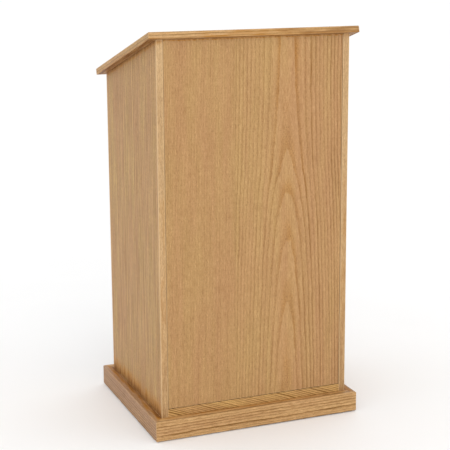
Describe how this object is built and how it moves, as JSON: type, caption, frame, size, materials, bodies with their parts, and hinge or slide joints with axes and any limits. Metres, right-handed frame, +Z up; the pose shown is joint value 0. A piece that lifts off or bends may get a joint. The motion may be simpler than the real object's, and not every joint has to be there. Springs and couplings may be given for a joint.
{
  "type": "pulpit",
  "caption": "Floor pulpit in oak: upright panelled cabinet on a mitred plinth, sloped reading top with a paper stop, open shelved back, levelling feet.",
  "frame": {"origin": "on the floor, under the middle of the body's width and depth", "axes": "+X to the right as the congregation sees it, +Y from the congregation's side towards the speaker, +Z up"},
  "size_m": [0.642, 0.535, 1.1675],
  "materials": {
    "oak_veneer_front": "satin lacquered red oak veneer, cathedral figure to the right, straight grain to the left",
    "oak_veneer_side": "satin lacquered red oak veneer, straight upright grain",
    "oak_veneer_top": "satin lacquered red oak veneer",
    "oak_veneer_inside": "satin lacquered red oak veneer",
    "oak_solid": "satin lacquered solid red oak, grain along each piece",
    "batten_wood": "planed softwood and beech, unfinished",
    "zinc_steel": "bright zinc plated",
    "black_nylon": "moulded, fine texture"
  },
  "bodies": {
    "cabinet": {"side_panel_left": "oak_veneer_side", "side_panel_right": "oak_veneer_side", "front_panel": "oak_veneer_front", "bottom_deck": "oak_veneer_inside", "front_strip_left": "oak_solid", "front_strip_right": "oak_solid", "rear_strip_left": "oak_solid", "rear_strip_right": "oak_solid", "front_bottom_rail": "oak_solid", "rear_bottom_rail": "oak_solid", "rear_top_rail": "oak_solid", "plinth_front": "oak_solid", "plinth_rear": "oak_solid", "plinth_left": "oak_solid", "plinth_right": "oak_solid", "reading_top_core": "oak_veneer_top", "top_edging_front": "oak_solid", "top_edging_rear": "oak_solid", "top_edging_left": "oak_solid", "top_edging_right": "oak_solid", "paper_stop": "oak_solid", "top_cleat_front": "batten_wood", "top_cleat_left": "batten_wood", "top_cleat_right": "batten_wood", "corner_cleat_left": "batten_wood", "corner_cleat_right": "batten_wood", "deck_cleat_left": "batten_wood", "deck_cleat_right": "batten_wood", "upper_shelf_cleat_left": "batten_wood", "upper_shelf_cleat_right": "batten_wood", "upper_shelf": "oak_veneer_inside", "upper_shelf_edging": "oak_solid", "shelf_supports": "zinc_steel", "corner_block_front_left": "batten_wood", "corner_block_front_right": "batten_wood", "corner_block_rear_left": "batten_wood", "corner_block_rear_right": "batten_wood", "foot_inserts": "zinc_steel", "rail_dowels": "batten_wood", "top_screws": "zinc_steel", "cleat_screws": "zinc_steel", "front_panel_screws": "zinc_steel", "deck_screws": "zinc_steel", "plinth_screws": "zinc_steel", "stop_screws": "zinc_steel"},
    "loose_shelf": {"adjustable_shelf": "oak_veneer_inside", "adjustable_shelf_edging": "oak_solid"},
    "foot_front_left": {"foot_stem_front_left": "zinc_steel", "foot_pad_front_left": "black_nylon"},
    "foot_front_right": {"foot_stem_front_right": "zinc_steel", "foot_pad_front_right": "black_nylon"},
    "foot_rear_left": {"foot_stem_rear_left": "zinc_steel", "foot_pad_rear_left": "black_nylon"},
    "foot_rear_right": {"foot_stem_rear_right": "zinc_steel", "foot_pad_rear_right": "black_nylon"}
  },
  "joints": [
    {"name": "shelf_draw", "type": "slide", "parent": "cabinet", "child": "loose_shelf", "axis": [0, 1, 0], "range_m": [0, 0.15]},
    {"name": "foot_front_left_level", "type": "slide", "parent": "cabinet", "child": "foot_front_left", "axis": [0, 0, -1], "range_m": [-0.003, 0.012]},
    {"name": "foot_front_right_level", "type": "slide", "parent": "cabinet", "child": "foot_front_right", "axis": [0, 0, -1], "range_m": [-0.003, 0.012]},
    {"name": "foot_rear_left_level", "type": "slide", "parent": "cabinet", "child": "foot_rear_left", "axis": [0, 0, -1], "range_m": [-0.003, 0.012]},
    {"name": "foot_rear_right_level", "type": "slide", "parent": "cabinet", "child": "foot_rear_right", "axis": [0, 0, -1], "range_m": [-0.003, 0.012]}
  ]
}
